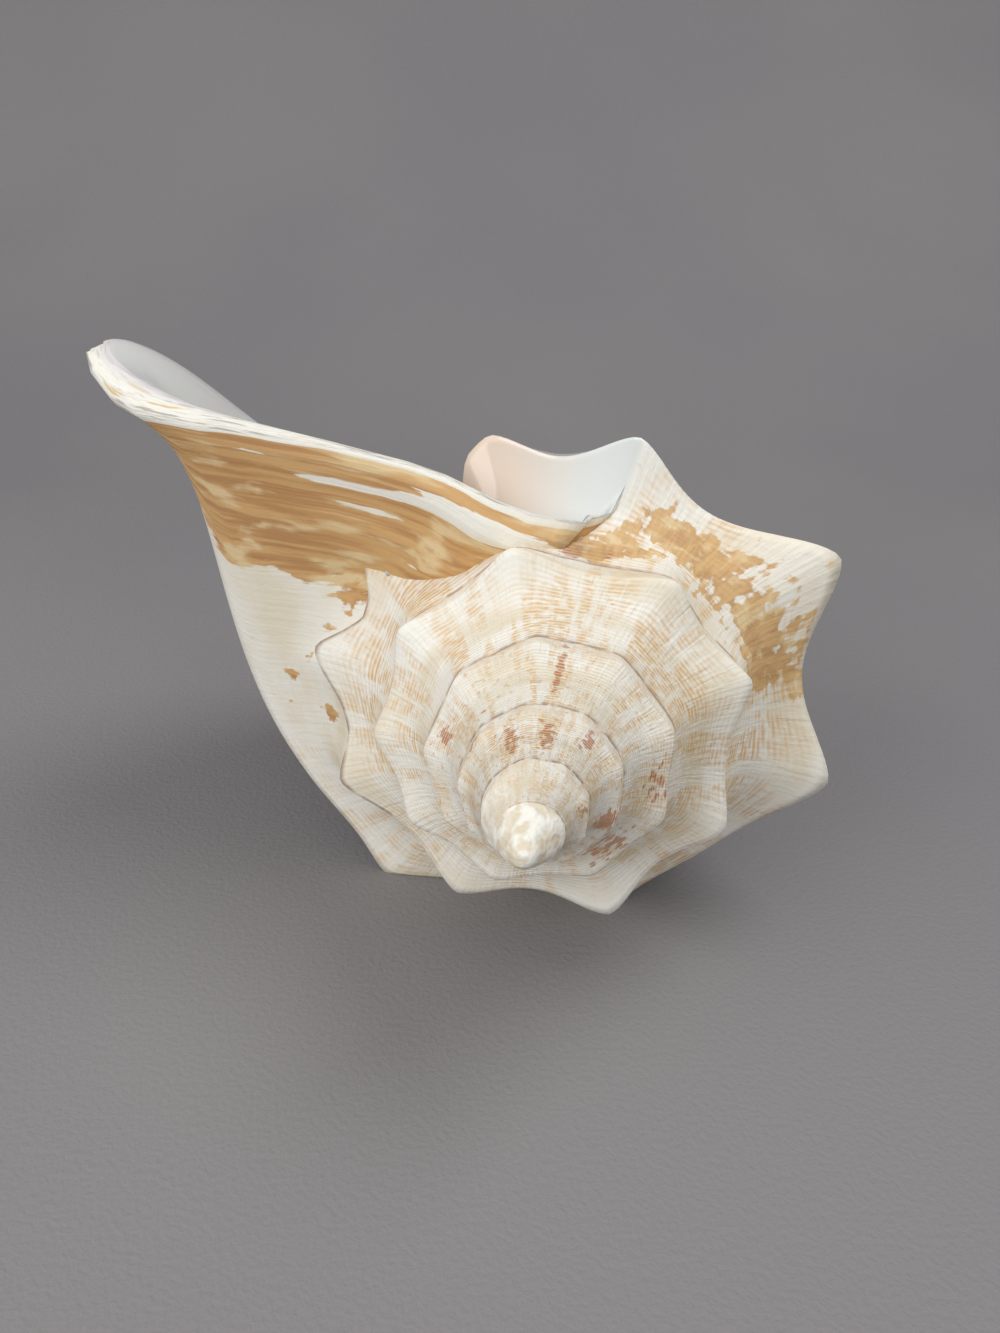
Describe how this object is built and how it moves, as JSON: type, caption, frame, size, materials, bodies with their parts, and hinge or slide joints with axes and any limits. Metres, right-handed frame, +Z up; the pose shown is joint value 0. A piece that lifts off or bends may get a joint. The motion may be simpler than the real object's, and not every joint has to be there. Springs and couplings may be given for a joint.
{
  "type": "conch shell",
  "caption": "Large sea snail shell with a spiny conical spire, a wide flaring lip and an open mouth, lying on its back mouth up.",
  "frame": {"origin": "centre of the bounding box's base, on the surface the shell lies on", "axes": "+Z up out of the mouth side, -Y towards the apex of the spire, +Y towards the end of the canal, -X towards the flaring lip"},
  "size_m": [0.1878, 0.205, 0.1444],
  "materials": {
    "shell": "satin calcium carbonate outside with patches of tan skin, glossy pink and white inside the mouth"
  },
  "bodies": {
    "root": {"conch_shell": "shell"}
  },
  "joints": []
}
